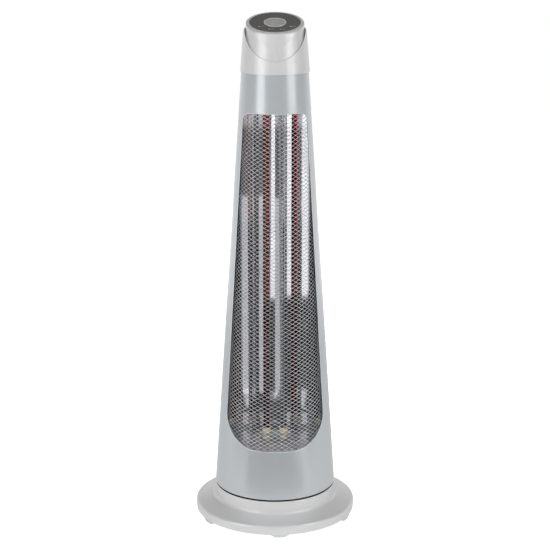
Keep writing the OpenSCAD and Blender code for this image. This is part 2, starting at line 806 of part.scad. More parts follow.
module lower_shelf() {
    color(steel) difference() {
        union() {
            translate([0, 0, shelf_z - sheet_t]) cylinder(r = shelf_r, h = sheet_t);
            translate([0, 0, shelf_z - sheet_t - shelf_skirt]) ring(shelf_r, shelf_r - sheet_t, shelf_skirt + 0.5);
        }
        for (x = tube_xs) translate([x, -tube_front, shelf_z - sheet_t - 1])
            cylinder(r = 3, h = sheet_t + 2, $fn = 32);
        for (x = [-26.4, 0, 26.4]) translate([x, -6, shelf_z - sheet_t - 1])
            cylinder(r = 2.5, h = sheet_t + 2, $fn = 32);
        translate([0, 45, shelf_z - sheet_t - 1]) cylinder(r = 9, h = sheet_t + 2, $fn = 48);
    }
}

module upper_shelf() {
    color(steel) difference() {
        translate([0, 0, top_shelf_z - sheet_t]) cylinder(r = top_shelf_r, h = sheet_t);
        for (x = tube_xs) translate([x, -tube_front, top_shelf_z - sheet_t - 1])
            cylinder(r = 3, h = sheet_t + 2, $fn = 32);
        translate([0, 30, top_shelf_z - sheet_t - 1]) cylinder(r = 7, h = sheet_t + 2, $fn = 48);
    }
}

module tube(x) {
    color(x < 0 ? ruby : quartz) translate([x, -tube_front, tube_low]) ring(tube_r, tube_r - tube_wall, tube_top - tube_low);
}

module filament(x) {
    color(screw_steel) translate([x, -tube_front, tube_low + seat])
        cylinder(r = filament_d / 2, h = tube_top - tube_low - 2 * seat, $fn = 32);
}

// A ceramic cap with its open end up.
module cap() {
    difference() {
        cylinder(r = cap_r, h = cap_h);
        translate([0, 0, cap_h - cap_seat]) cylinder(r = tube_r + seat, h = cap_seat + 1);
        translate([0, 0, -1]) cylinder(r = 1.2, h = cap_h, $fn = 32);
    }
}

module lower_cap(x) {
    color(beige) translate([x, -tube_front, low_cap_z]) cap();
}

module upper_cap(x) {
    color(beige) translate([x, -tube_front, top_cap_z + cap_h]) mirror([0, 0, 1]) cap();
}

// A bent strip with two holes for the caps; its feet are at z = 0.
module tube_bracket() {
    y = -tube_front - bracket_d / 2;
    difference() {
        union() {
            translate([-bracket_w / 2, y, bracket_up]) cube([bracket_w, bracket_d, sheet_t]);
            for (s = [-1, 1]) {
                translate([s * bracket_w / 2 - sheet_t / 2, y, 0]) cube([sheet_t, bracket_d, bracket_up + sheet_t]);
                translate([s * (bracket_w / 2 + 3) - 4, y + 4, 0]) cube([8, bracket_d - 8, sheet_t]);
            }
        }
        for (x = tube_xs) translate([x, -tube_front, bracket_up - 1])
            cylinder(r = cap_r + seat, h = sheet_t + 2, $fn = 64);
    }
}

module lower_tube_bracket() {
    color(steel) translate([0, 0, shelf_z + seat]) tube_bracket();
}

module upper_tube_bracket() {
    color(steel) translate([0, 0, top_shelf_z - sheet_t - seat]) mirror([0, 0, 1]) tube_bracket();
}

module thermal_cutout() {
    color(white_plastic) translate([0, 8, top_shelf_z + seat]) {
        cylinder(r = 8, h = 3);
        translate([0, 0, 3]) cylinder(r = 6.5, h = 7);
        for (s = [-1, 1]) translate([s * 3 - 0.4, -3, 10]) cube([0.8, 6, 7]);
    }
}

// ---- Power board, on the turntable ----

module power_board() {
    color(board_green) difference() {
        translate([-board_size[0] / 2, board_y - board_size[1] / 2, board_z + seat])
            cube([board_size[0], board_size[1], board_t]);
        at_board_screws() translate([0, 0, board_z - 1])
            cylinder(r = screw_r + screw_fit, h = board_t + 3, $fn = 32);
    }
}

board_face = board_z + board_t + 2 * seat;
module relays() {
    color(dark) for (x = [-28, -6]) translate([x, board_y - 12, board_face]) cube([18, 15, 15]);
}

module filter_capacitor() {
    color([0.85, 0.65, 0.2]) translate([16, board_y - 10, board_face]) cube([18, 8, 14]);
}

module terminal_block() {
    color([0.2, 0.4, 0.25]) translate([-18, board_y + 6, board_face]) difference() {
        cube([40, 10, 11]);
        for (i = [0:3]) translate([5 + i * 10, 5, 4]) cylinder(r = 2.5, h = 8, $fn = 32);
    }
}

module board_screws() {
    color(screw_steel) at_board_screws() translate([0, 0, board_face + seat - board_screw_l])
        screw(board_screw_l);
}

// ---- Head ----

module head_collar() {
    foot_r = collar_foot_d / 2;
    top_r = collar_top_d / 2;
    lap_r = tower_r(collar_z) + slip;
    shoulder = [for (i = [0:6]) let (a = i * 15)
        [top_r - (top_r - core_r(collar_top) - 0.6) * (1 - cos(a)), collar_top - shoulder_h * (1 - sin(a))]];
    deck_top = collar_deck_z + collar_deck_t;
    color(silver) difference() {
        rotate_extrude() polygon(concat(
            [[lap_r, collar_z], [foot_r, collar_z]],
            shoulder,
            [[core_r(collar_top) + core_fit, collar_top], [core_r(deck_top) + core_fit, deck_top],
                [core_r(deck_top) - 9, deck_top], [core_r(deck_top) - 9, collar_deck_z],
                [tower_r(tower_top) + slip, collar_deck_z]]));
        translate([0, 0, collar_top]) rotate([90, 0, 0]) cylinder(r = scoop_r, h = base_r);
        at_head_screws() translate([0, 0, collar_deck_z - 1])
            cylinder(r = screw_r + screw_fit, h = collar_deck_t + 2, $fn = 32);
    }
}

module at_head_screws() {
    for (a = [30, 150, 270]) rotate([0, 0, a]) translate([core_r(core_z) - 6.2, 0, 0]) children();
}

// The head core's solid below its tilted round rim.
module rim_limit(drop) {
    on_panel() translate([0, -rim_shift, -drop]) rotate_extrude() polygon(concat(
        [[0, 0]], arc([core_rim_r - core_round, -core_round], core_round, 90, 24, 6),
        [[core_rim_r + 60, -120], [0, -120]]));
}

module head_core() {
    z1 = panel_z + 30;
    color(silver) difference() {
        intersection() {
            translate([0, 0, core_z]) cylinder(r1 = core_r(core_z), r2 = core_r(z1), h = z1 - core_z);
            rim_limit(0);
        }
        difference() {
            intersection() {
                translate([0, 0, core_z - 1])
                    cylinder(r1 = core_r(core_z - 1) - core_wall, r2 = core_r(z1) - core_wall, h = z1 - core_z + 1);
                on_panel() translate([0, 0, -under_top - base_d]) cylinder(r = base_d, h = base_d);
            }
            at_head_screws() translate([0, 0, core_z]) cylinder(r = 4, h = 12, $fn = 32);
            on_panel() for (a = [30, 150, 270]) rotate([0, 0, a])
                translate([core_boss_circle, 0, -board_top]) cylinder(r = 3, h = board_top, $fn = 32);
        }
        on_panel() {
            translate([0, 0, -panel_t - seat]) cylinder(r = panel_r + panel_fit, h = 20);
            at_button() translate([0, 0, -under_top - 1])
                cylinder(r = stem_r + button_gap, h = under_top, $fn = 48);
            at_lamps() translate([0, 0, -under_top - 1]) cylinder(r = lens_r + 0.3, h = under_top, $fn = 32);
        }
        at_head_screws() translate([0, 0, core_z - 1]) cylinder(r = pilot_r, h = 9, $fn = 32);
    }
}

module head_screws() {
    color(screw_steel) at_head_screws()
        translate([0, 0, collar_deck_z - seat]) mirror([0, 0, 1])
            translate([0, 0, -head_screw_l]) screw(head_screw_l);
}

module control_panel() {
    color(dark) on_panel() translate([0, 0, -panel_t]) difference() {
        cylinder(r = panel_r, h = panel_t);
        at_button() translate([0, 0, -1]) cylinder(r = bezel_r + seat, h = panel_t + 2);
        at_lamps() translate([0, 0, -1]) cylinder(r = lens_r + seat, h = panel_t + 2, $fn = 32);
    }
}

module button_bezel() {
    color([0.72, 0.73, 0.69]) on_panel() at_button() translate([0, 0, -panel_t])
        ring(bezel_r, button_r + button_gap, panel_t + bezel_up);
}

module power_button() {
    dish_r = 60;
    color([0.56, 0.57, 0.54]) on_panel() at_button() difference() {
        union() {
            translate([0, 0, -button_low]) cylinder(r = button_r, h = button_t);
            translate([0, 0, -stem_low]) cylinder(r = stem_r, h = stem_low - button_low + 0.5, $fn = 48);
        }
        translate([0, 0, button_t - button_low - 0.6 + dish_r]) sphere(r = dish_r, $fn = 128);
    }
}

module indicator_lenses() {
    color([0.8, 0.85, 0.8]) on_panel() at_lamps()
        translate([0, 0, -panel_t]) cylinder(r = lens_r, h = panel_t + 0.15, $fn = 32);
}

module control_board() {
    color(board_green) on_panel() translate([0, 0, -board_top - board_t - seat])
        cylinder(r = control_r, h = board_t);
}

module tact_switch() {
    color(dark) on_panel() at_button() {
        translate([-3, -3, -board_top]) cube([6, 6, switch_h - 0.8]);
        translate([0, 0, -board_top]) cylinder(r = 1.75, h = switch_h, $fn = 32);
    }
}

module indicator_lamps() {
    color([0.9, 0.9, 0.8]) on_panel() at_lamps()
        translate([0, 0, -board_top]) cylinder(r = lens_r - 0.1, h = board_top - panel_t - 2 * seat, $fn = 32);
}

base_cover();
base_tray();
foot_pads();
base_screws();
cord_bush();
tilt_switch();
swing_motor();
motor_screws();
swivel_bush();
thrust_ring();
motor_shaft();
crank();
turntable();
spindle_nut();
turntable_screws();
front_housing();
rear_housing();
housing_screws();
grille();
reflector();
lower_shelf();
upper_shelf();
tube(-tube_x);  // left_tube
tube(tube_x);  // right_tube
filament(-tube_x);  // left_filament
filament(tube_x);  // right_filament
lower_cap(-tube_x);  // lower_left_cap
lower_cap(tube_x);  // lower_right_cap
upper_cap(-tube_x);  // upper_left_cap
upper_cap(tube_x);  // upper_right_cap
lower_tube_bracket();
upper_tube_bracket();
thermal_cutout();
power_board();
relays();
filter_capacitor();
terminal_block();
board_screws();
head_collar();
head_core();
head_screws();
control_panel();
button_bezel();
indicator_lenses();
control_board();
tact_switch();
indicator_lamps();
power_button();
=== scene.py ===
"""Looks of an oscillating tower heater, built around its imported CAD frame.

The frame brings the solids. This script adds the full expanded-metal grille, the
wound filaments and the printed marks of the control panel, gives every piece its
finish, and sets the studio: camera, floor, dark card, surround and lamps. Lengths
are metres, +Z is up, the front of the heater faces -Y.
"""

from __future__ import annotations

import json
import logging
import math
import sys
from abc import ABC, abstractmethod
from dataclasses import dataclass
from enum import Enum, StrEnum, auto
from functools import cache, cached_property
from typing import Sequence

import bmesh
import bpy
import numpy as np
from bpy.types import Material, Node, NodeSocket, NodeTree, Object, bpy_prop_collection
from mathutils import Matrix, Vector

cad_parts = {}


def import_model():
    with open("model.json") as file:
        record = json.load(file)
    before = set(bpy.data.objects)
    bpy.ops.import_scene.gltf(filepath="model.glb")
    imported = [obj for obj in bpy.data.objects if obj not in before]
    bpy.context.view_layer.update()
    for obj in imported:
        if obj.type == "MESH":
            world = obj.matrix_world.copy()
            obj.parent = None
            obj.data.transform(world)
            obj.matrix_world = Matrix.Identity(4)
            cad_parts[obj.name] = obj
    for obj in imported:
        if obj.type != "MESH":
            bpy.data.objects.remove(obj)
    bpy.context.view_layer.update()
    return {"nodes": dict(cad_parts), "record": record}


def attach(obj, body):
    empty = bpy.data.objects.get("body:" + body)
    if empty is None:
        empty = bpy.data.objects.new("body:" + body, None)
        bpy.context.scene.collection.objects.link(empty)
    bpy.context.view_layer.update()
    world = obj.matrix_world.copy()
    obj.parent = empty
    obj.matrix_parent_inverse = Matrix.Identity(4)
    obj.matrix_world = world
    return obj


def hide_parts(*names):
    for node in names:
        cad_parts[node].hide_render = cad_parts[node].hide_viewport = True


log = logging.getLogger("heater")

MM = 0.001
Colour = tuple[float, float, float]

WHITE: Colour = (1.0, 1.0, 1.0)
# Pale colour of a painted highlight along sharp edges.
EDGE_HIGHLIGHT_COLOUR: Colour = (0.93, 0.94, 0.95)
# Near-black colour of painted shade in the gap under the tower's foot.
GAP_SHADE_COLOUR: Colour = (0.02, 0.02, 0.021)


class Body(Enum):
    """The rigid bodies that new pieces move with."""

    TOWER = "tower"
    BUTTON = "power_button"


class Slot(StrEnum):
    """The material slots of the record, each named as here, in small letters."""

    SILVER_PAINT = auto()
    SILVER_BLUE_PAINT = auto()
    SILVER_PLASTIC = auto()
    RUBBER = auto()
    SCREW_STEEL = auto()
    BLACK_PLASTIC = auto()
    DARK_PLASTIC = auto()
    WHITE_PLASTIC = auto()
    ZINC_STEEL = auto()
    BRIGHT_STEEL = auto()
    MIRROR_ALUMINIUM = auto()
    RUBY_QUARTZ = auto()
    CLEAR_QUARTZ = auto()
    TUNGSTEN = auto()
    CERAMIC = auto()
    BOARD = auto()
    YELLOW_PLASTIC = auto()
    GREEN_PLASTIC = auto()
    BLACK_GLOSS = auto()
    SATIN_TRIM = auto()
    LENS = auto()
    LAMP = auto()
    GREY_BUTTON = auto()


class Pictogram(Enum):
    """What is printed beside an indicator lamp."""

    ONE_BAR = auto()
    TWO_BARS = auto()
    SWING = auto()
    CLOCK = auto()


# ---- node graphs


class Graph:
    """A shader node tree that is built one node at a time."""

    def __init__(self, tree: NodeTree) -> None:
        """Takes the tree that the nodes go into: a material's, a world's or a group's."""
        self.tree = tree

    def node(self, kind: str, settings: dict[str, object] | None = None, *terms: object,
             **inputs: object) -> Node:
        """Adds a node.

        Args:
            kind: the node's type, without its ShaderNode prefix.
            settings: the node's own properties.
            *terms: values or sockets for its first inputs, in their order.
            **inputs: values or sockets for its inputs by name, as for feed.

        Returns:
            The node.
        """
        made = self.tree.nodes.new("ShaderNode" + kind)
        for name, value in (settings or {}).items():
            setattr(made, name, value)
        for socket, value in zip(made.inputs, terms):
            self.plug(socket, value)
        self.feed(made, **inputs)
        return made

    def feed(self, made: Node, **inputs: object) -> None:
        """Feeds inputs of a node.

        Args:
            made: the node.
            **inputs: a value or a socket for each input; an underscore stands for a space.
        """
        for name, value in inputs.items():
            self.plug(made.inputs[name.replace("_", " ")], value)

    def plug(self, socket: NodeSocket, value: object) -> None:
        """Sets or links one input.

        Args:
            socket: the input.
            value: a plain value, or the output socket that feeds it.
        """
        if isinstance(value, NodeSocket):
            self.tree.links.new(value, socket)
        else:
            socket.default_value = value

    def math(self, operation: str, *terms: object) -> NodeSocket:
        """The result of an operation of the Math node on its terms."""
        return self.node("Math", {"operation": operation}, *terms).outputs[0]

    def vector(self, operation: str, *terms: object, out: str = "Vector") -> NodeSocket:
        """The result, Vector or Value, of an operation of the Vector Math node on its terms."""
        return self.node("VectorMath", {"operation": operation}, *terms).outputs[out]

    def blend(self, share: object, first: object, second: object) -> NodeSocket:
        """Adds a colour mix, whose colours are the Mix node's inputs 6 and 7.

        Args:
            share: how much of the second colour shows, from 0 to 1.
            first: the colour where the share is 0.
            second: the colour where the share is 1.

        Returns:
            The result's socket, the Mix node's output 2.
        """
        made = self.node("Mix", {"data_type": "RGBA"}, share)
        self.plug(made.inputs[6], first)
        self.plug(made.inputs[7], second)
        return made.outputs[2]

    def span(self, value: object, low: float, high: float, to_low: float = 0.0,
             to_high: float = 1.0, smooth: bool = True) -> NodeSocket:
        """Maps a range of a value on another range.

        Args:
            value: the value.
            low: where its range starts.
            high: where its range ends.
            to_low: the result up to the start.
            to_high: the result from the end on.
            smooth: whether the change is eased at both ends.

        Returns:
            The result's socket.
        """
        way = {"interpolation_type": "SMOOTHSTEP" if smooth else "LINEAR"}
        return self.node("MapRange", way, value, low, high, to_low, to_high).outputs[0]

    def between(self, share: object, low: float, high: float) -> NodeSocket:
        """The value that lies between low, where the share is 0, and high, where it is 1."""
        return self.span(share, 0.0, 1.0, low, high, smooth=False)

    def seen(self) -> NodeSocket:
        """1 for what the camera sees, straight or through glass, and 0 for the rest."""
        path = self.node("LightPath").outputs
        return self.math("MAXIMUM", path["Is Camera Ray"], path["Is Transmission Ray"])


class MaterialGraph(Graph):
    """The graph of a new material, with its shader and the socket of its Object coordinates."""

    def __init__(self, name: str) -> None:
        """Makes the material.

        Args:
            name: its name.
        """
        self.material = bpy.data.materials.new(name)
        self.material.use_nodes = True
        super().__init__(self.material.node_tree)
        self.shader = self.tree.nodes["Principled BSDF"]
        self.place = self.node("TexCoord").outputs["Object"]

    def group(self, tree: NodeTree, *terms: object, **inputs: object) -> bpy_prop_collection:
        """The outputs of an effect group that is placed with this material's own inputs."""
        return self.node("Group", {"node_tree": tree}, *terms, **inputs).outputs

    def relief(self, height: object, strength: float, depth: float, **inputs: object) -> None:
        """Gives the material a relief.

        Args:
            height: its height, from 0 to 1.
            strength: how much of it shows.
            depth: its depth.
            **inputs: the Normal that it starts from, where that isn't the face's own.
        """
        bump = self.node("Bump", Strength=strength, Distance=depth, Height=height, **inputs)
        self.feed(self.shader, Normal=bump.outputs[0])


def rgba(colour: Colour) -> tuple[float, float, float, float]:
    """A colour with full cover."""
    return (*colour, 1.0)


@dataclass
class EffectGroups:
    """Node groups that several finishes share, each built when it is first asked for."""

    fine_ratio: float = 14.0
    line_stretch: float = 0.012

    def _begin(self, name: str, inputs: dict[str, float],
               outputs: dict[str, str]) -> tuple[Graph, bpy_prop_collection, Node]:
        """Starts a group.

        Args:
            name: the group's name.
            inputs: resting values of its number inputs; Vector comes first by itself.
            outputs: what it puts out, each a Float or a Vector.

        Returns:
            The group's graph, the sockets of its inputs and its output node.
        """
        tree = bpy.data.node_groups.new(name, "ShaderNodeTree")
        new_socket = tree.interface.new_socket
        new_socket(name="Vector", in_out="INPUT", socket_type="NodeSocketVector")
        for label, value in inputs.items():
            made = new_socket(name=label, in_out="INPUT", socket_type="NodeSocketFloat")
            made.default_value = value
        for label, kind in outputs.items():
            new_socket(name=label, in_out="OUTPUT", socket_type="NodeSocket" + kind)
        start = tree.nodes.new("NodeGroupInput").outputs
        return Graph(tree), start, tree.nodes.new("NodeGroupOutput")

    @cached_property
    def handling(self) -> NodeTree:
        """Broad and fine unevenness from moulding, wiping and handling.

        Returns:
            A group with Scale in, and Broad and Fine out, both from 0 to 1.
        """
        graph, start, end = self._begin("handling", {"Scale": 20.0},
                                        {"Broad": "Float", "Fine": "Float"})
        place, scale = start["Vector"], start["Scale"]
        broad = graph.node("TexNoise", Vector=place, Scale=scale, Detail=3.0, Roughness=0.55)
        fine_scale = graph.math("MULTIPLY", scale, self.fine_ratio)
        fine = graph.node("TexNoise", Vector=place, Scale=fine_scale, Detail=2.0, Roughness=0.6)
        graph.feed(end, Broad=graph.span(broad.outputs[0], 0.3, 0.7),
                   Fine=graph.span(fine.outputs[0], 0.3, 0.7))
        return graph.tree

    @cached_property
    def flake(self) -> NodeTree:
        """Metal flakes in a paint or a metal-filled plastic.

        Returns:
            A group with Scale and Lean in; Tone, 0 to 1 for each flake, and Normal,
            the face's own normal leant a little by each flake, out.
        """
        graph, start, end = self._begin("flake", {"Scale": 3000.0, "Lean": 0.1},
                                        {"Tone": "Float", "Normal": "Vector"})
        cells = graph.node("TexVoronoi", {"feature": "F1"}, Vector=start["Vector"],
                           Scale=start["Scale"]).outputs["Color"]
        centred = graph.vector("SUBTRACT", cells, (0.5, 0.5, 0.5))
        leant = graph.node("VectorMath", {"operation": "SCALE"}, centred, Scale=start["Lean"])
        own = graph.node("NewGeometry").outputs["Normal"]
        normal = graph.vector("NORMALIZE", graph.vector("ADD", leant.outputs[0], own))
        graph.feed(end, Tone=graph.node("SeparateColor", Color=cells).outputs[0], Normal=normal)
        return graph.tree

    @cached_property
    def rolled(self) -> NodeTree:
        """Fine lines of rolled or drawn sheet, along Z or another axis through Vector.

        Returns:
            A group with Scale in, and Lines out, from 0 to 1.
        """
        graph, start, end = self._begin("rolled", {"Scale": 900.0}, {"Lines": "Float"})
        drawn = graph.node("Mapping", Vector=start["Vector"], Scale=(1.0, 1.0, self.line_stretch))
        lines = graph.node("TexNoise", Vector=drawn.outputs[0], Scale=start["Scale"],
                           Detail=3.0, Roughness=0.65)
        graph.feed(end, Lines=graph.span(lines.outputs[0], 0.25, 0.75, smooth=False))
        return graph.tree


GROUPS = EffectGroups()


# ---- finishes


@dataclass(frozen=True)
class Finish(ABC):
    """What every finish has: two close tones."""

    light: Colour
    shade: Colour

    @cache
    def build(self, name: str) -> Material:
        """Builds the finish as a material, once for each name.

        Args:
            name: the material's name.

        Returns:
            The material.
        """
        graph = MaterialGraph(name)
        self.cover(graph)
        return graph.material

    @abstractmethod
    def cover(self, graph: MaterialGraph) -> None:
        """Feeds the shader of a new material."""

    def tone(self, graph: Graph, share: object) -> NodeSocket:
        """The colour between shade, where the share is 0, and light, where it is 1."""
        return graph.blend(share, rgba(self.shade), rgba(self.light))


@dataclass(frozen=True)
class Paint(Finish):
    """Sprayed metallic paint or metal-filled plastic under a thin lacquer.

    The flakes give flake_share of the tone, and handling gives the rest. Edges are
    eased over the radius edge. Where the eased normal turns away from the face's own,
    down to the cosine turned, the colour is lightened toward a pale painted highlight,
    by the share edge_highlight. Nearer to the axis than gap_shade_inside and lower than
    gap_shade_below, the colour is near-black painted shade, for the gap under the tower's foot.
    """

    smooth: float
    rough: float
    metallic: float = 0.42
    flake_size: float = 0.00035
    flake_lean: float = 0.03
    flake_share: float = 0.75
    wear_scale: float = 9.0
    lacquer: float = 0.35
    lacquer_rough: float = 0.12
    peel: float = 0.00006
    peel_strength: float = 0.35
    edge: float = 0.0004
    turned: float = 0.95
    edge_highlight: float = 0.0
    gap_shade_inside: float = 0.0
    gap_shade_below: float = 0.0

    def gap_shade(self, graph: MaterialGraph) -> NodeSocket:
        """The share of painted shade: 1 where both the radius and the height are small.

        Args:
            graph: the material's graph.

        Returns:
            The share's socket.
        """
        x, y, z = graph.node("SeparateXYZ", Vector=graph.place).outputs
        square = graph.math("MULTIPLY_ADD", y, y, graph.math("MULTIPLY", x, x))
        return graph.math("MULTIPLY", graph.math("LESS_THAN", square, self.gap_shade_inside ** 2),
                          graph.math("LESS_THAN", z, self.gap_shade_below))

    def cover(self, graph: MaterialGraph) -> None:
        """Gives two tones by flake, uneven gloss, orange peel and eased edges.

        Args:
            graph: the material's graph.
        """
        flake = graph.group(GROUPS.flake, graph.place, Scale=1.0 / self.flake_size,
                            Lean=self.flake_lean)
        wear = graph.group(GROUPS.handling, graph.place, Scale=self.wear_scale)
        share = graph.math("MULTIPLY", flake["Tone"], self.flake_share)
        share = graph.math("MULTIPLY_ADD", wear["Broad"], 1.0 - self.flake_share, share)
        colour = self.tone(graph, share)
        # Painted shade: a near-black colour inside the base cover, where the gap under the tower
        # lies.
        if self.gap_shade_inside:
            colour = graph.blend(self.gap_shade(graph), colour, rgba(GAP_SHADE_COLOUR))
        own = flake["Normal"]
        eased = graph.node("Bevel", {"samples": 6}, Radius=self.edge, Normal=own).outputs[0]
        along = graph.vector("DOT_PRODUCT", eased, own, out="Value")
        # Painted highlight: the colour turns pale where the eased normal turns from the face's
        # own.
        highlight_share = graph.span(along, 1.0, self.turned, 0.0, self.edge_highlight, smooth=False)
        graph.feed(graph.shader, Base_Color=graph.blend(highlight_share, colour, rgba(EDGE_HIGHLIGHT_COLOUR)),
                   Metallic=self.metallic,
                   Roughness=graph.between(wear["Fine"], self.smooth, self.rough),
                   Coat_Weight=self.lacquer, Coat_Roughness=self.lacquer_rough)
        graph.relief(wear["Fine"], self.peel_strength, self.peel, Normal=eased)


@dataclass(frozen=True)
class Moulding(Finish):
    """Plain moulded plastic, rubber or fired ceramic with a fine spark texture."""

    smooth: float = 0.4
    rough: float = 0.55
    grain: float = 0.0006
    depth: float = 0.00003
    strength: float = 0.5
    wear_scale: float = 24.0
    lacquer: float = 0.0
    lacquer_rough: float = 0.08

    def cover(self, graph: MaterialGraph) -> None:
        """Gives a slightly mottled colour, a textured surface and uneven gloss.

        Args:
            graph: the material's graph.
        """
        wear = graph.group(GROUPS.handling, graph.place, Scale=self.wear_scale)
        graph.feed(graph.shader, Base_Color=self.tone(graph, wear["Broad"]),
                   Roughness=graph.between(wear["Fine"], self.smooth, self.rough),
                   Coat_Weight=self.lacquer, Coat_Roughness=self.lacquer_rough)
        grain = graph.node("TexNoise", Vector=graph.place, Scale=1.0 / self.grain, Detail=2.0)
        graph.relief(grain.outputs[0], self.strength, self.depth)


@dataclass(frozen=True)
class SheetMetal(Finish):
    """Rolled, drawn or plated metal, whose lines run along Z until turn turns them."""

    smooth: float
    rough: float
    metallic: float = 1.0
    line: float = 0.0012
    depth: float = 0.00001
    strength: float = 0.4
    wear_scale: float = 16.0
    turn: tuple[float, float, float] = (0.0, 0.0, 0.0)

    def cover(self, graph: MaterialGraph) -> None:
        """Gives rolling lines in gloss and relief, and faint stains.

        Args:
            graph: the material's graph.
        """
        turned = graph.node("Mapping", Vector=graph.place, Rotation=self.turn).outputs[0]
        lines = graph.group(GROUPS.rolled, turned, Scale=1.0 / self.line)["Lines"]
        wear = graph.group(GROUPS.handling, graph.place, Scale=self.wear_scale)
        graph.feed(graph.shader, Base_Color=self.tone(graph, wear["Broad"]),
                   Metallic=self.metallic, Roughness=graph.between(lines, self.smooth, self.rough))
        graph.relief(lines, self.strength, self.depth)


@dataclass(frozen=True)
class Quartz(Finish):
    """Drawn quartz tube, dyed in the mass."""

    rough: float = 0.03
    index: float = 1.46
    line_scale: float = 1400.0
    depth: float = 0.00002
    strength: float = 0.2

    def cover(self, graph: MaterialGraph) -> None:
        """Gives glass with faint drawing lines along the tube.

        Args:
            graph: the material's graph.
        """
        lines = graph.group(GROUPS.rolled, graph.place, Scale=self.line_scale)["Lines"]
        graph.feed(graph.shader, Base_Color=self.tone(graph, lines), Roughness=self.rough,
                   IOR=self.index, Transmission_Weight=1.0)
        graph.relief(lines, self.strength, self.depth)


@dataclass(frozen=True)
class GlossPanel(Finish):
    """Polished black panel with fine wiping marks."""

    smooth: float = 0.06
    rough: float = 0.16
    wear_scale: float = 45.0
    lacquer: float = 0.6
    lacquer_rough: float = 0.04
    depth: float = 0.00002
    strength: float = 0.15

    def cover(self, graph: MaterialGraph) -> None:
        """Gives a deep, glossy black with faint wiping marks.

        Args:
            graph: the material's graph.
        """
        wear = graph.group(GROUPS.handling, graph.place, Scale=self.wear_scale)
        graph.feed(graph.shader, Base_Color=self.tone(graph, wear["Fine"]),
                   Roughness=graph.between(wear["Broad"], self.smooth, self.rough),
                   Coat_Weight=self.lacquer, Coat_Roughness=self.lacquer_rough)
        graph.relief(wear["Fine"], self.strength, self.depth)


FINISHES: dict[Slot, Finish] = {
    # Painted shade inside the base cover, under the tower's foot.
    Slot.SILVER_PAINT: Paint((0.735, 0.735, 0.74), (0.705, 0.705, 0.71), 0.39, 0.45,
                             gap_shade_inside=93.5 * MM, gap_shade_below=60.0 * MM),
    # Painted highlight along the housing's sharp edges.
    Slot.SILVER_BLUE_PAINT: Paint((0.545, 0.575, 0.60), (0.53, 0.56, 0.585), 0.285, 0.32,
                                  lacquer=0.4, flake_lean=0.0, edge=0.0014, edge_highlight=0.95),
    Slot.SILVER_PLASTIC: Paint((0.66, 0.665, 0.67), (0.62, 0.625, 0.63), 0.42, 0.52,
                               metallic=0.25, lacquer=0.0),
    Slot.RUBBER: Moulding((0.030, 0.030, 0.030), (0.018, 0.018, 0.018), 0.65, 0.8),
    Slot.SCREW_STEEL: SheetMetal((0.55, 0.55, 0.56), (0.42, 0.42, 0.43), 0.25, 0.4),
    Slot.BLACK_PLASTIC: Moulding((0.030, 0.030, 0.031), (0.018, 0.018, 0.019)),
    Slot.DARK_PLASTIC: Moulding((0.022, 0.022, 0.024), (0.012, 0.012, 0.013)),
    Slot.WHITE_PLASTIC: Moulding((0.76, 0.76, 0.73), (0.68, 0.68, 0.65)),
    Slot.ZINC_STEEL: SheetMetal((0.66, 0.67, 0.69), (0.52, 0.53, 0.55), 0.42, 0.58,
                                turn=(0.0, math.pi / 2, 0.0)),
    Slot.BRIGHT_STEEL: SheetMetal((0.93, 0.935, 0.95), (0.85, 0.855, 0.87), 0.30, 0.42,
                                  metallic=0.6),
    Slot.MIRROR_ALUMINIUM: SheetMetal((0.545, 0.55, 0.58), (0.51, 0.515, 0.54), 0.03, 0.07,
                                      line=0.0008, depth=0.000004),
    Slot.RUBY_QUARTZ: Quartz((0.56, 0.022, 0.055), (0.46, 0.016, 0.042)),
    Slot.CLEAR_QUARTZ: Quartz((0.80, 0.80, 0.80), (0.70, 0.70, 0.71)),
    Slot.TUNGSTEN: SheetMetal((0.28, 0.27, 0.27), (0.18, 0.17, 0.17), 0.35, 0.5),
    Slot.CERAMIC: Moulding((0.62, 0.53, 0.40), (0.50, 0.42, 0.31), 0.6, 0.8,
                           grain=0.0009, depth=0.00006),
    Slot.BOARD: Moulding((0.030, 0.14, 0.055), (0.02, 0.10, 0.04), 0.3, 0.45),
    Slot.YELLOW_PLASTIC: Moulding((0.70, 0.42, 0.05), (0.60, 0.35, 0.04)),
    Slot.GREEN_PLASTIC: Moulding((0.05, 0.28, 0.10), (0.04, 0.22, 0.08)),
    Slot.BLACK_GLOSS: GlossPanel((0.096, 0.092, 0.087), (0.082, 0.079, 0.075)),
    Slot.SATIN_TRIM: Paint((0.80, 0.82, 0.75), (0.72, 0.74, 0.68), 0.29, 0.36, metallic=0.4),
    Slot.LENS: Moulding((0.40, 0.44, 0.41), (0.32, 0.36, 0.33), 0.1, 0.2,
                        grain=0.001, depth=0.00001, lacquer=0.6),
    Slot.LAMP: Moulding((0.80, 0.80, 0.62), (0.74, 0.74, 0.56), 0.1, 0.2),
    Slot.GREY_BUTTON: Paint((0.58, 0.59, 0.55), (0.40, 0.41, 0.38), 0.28, 0.4,
                            metallic=0.4, flake_size=0.0009),
}


def dress(piece: Object, slot: Slot) -> None:
    """Puts a slot's finish on every material slot of a piece.

    Args:
        piece: a CAD node's object or a new piece.
        slot: the slot, which gives the material its name too.
    """
    material = FINISHES[slot].build(slot.value)
    if not piece.material_slots:
        piece.data.materials.append(material)
    for place in piece.material_slots:
        place.material = material


# ---- mesh tools


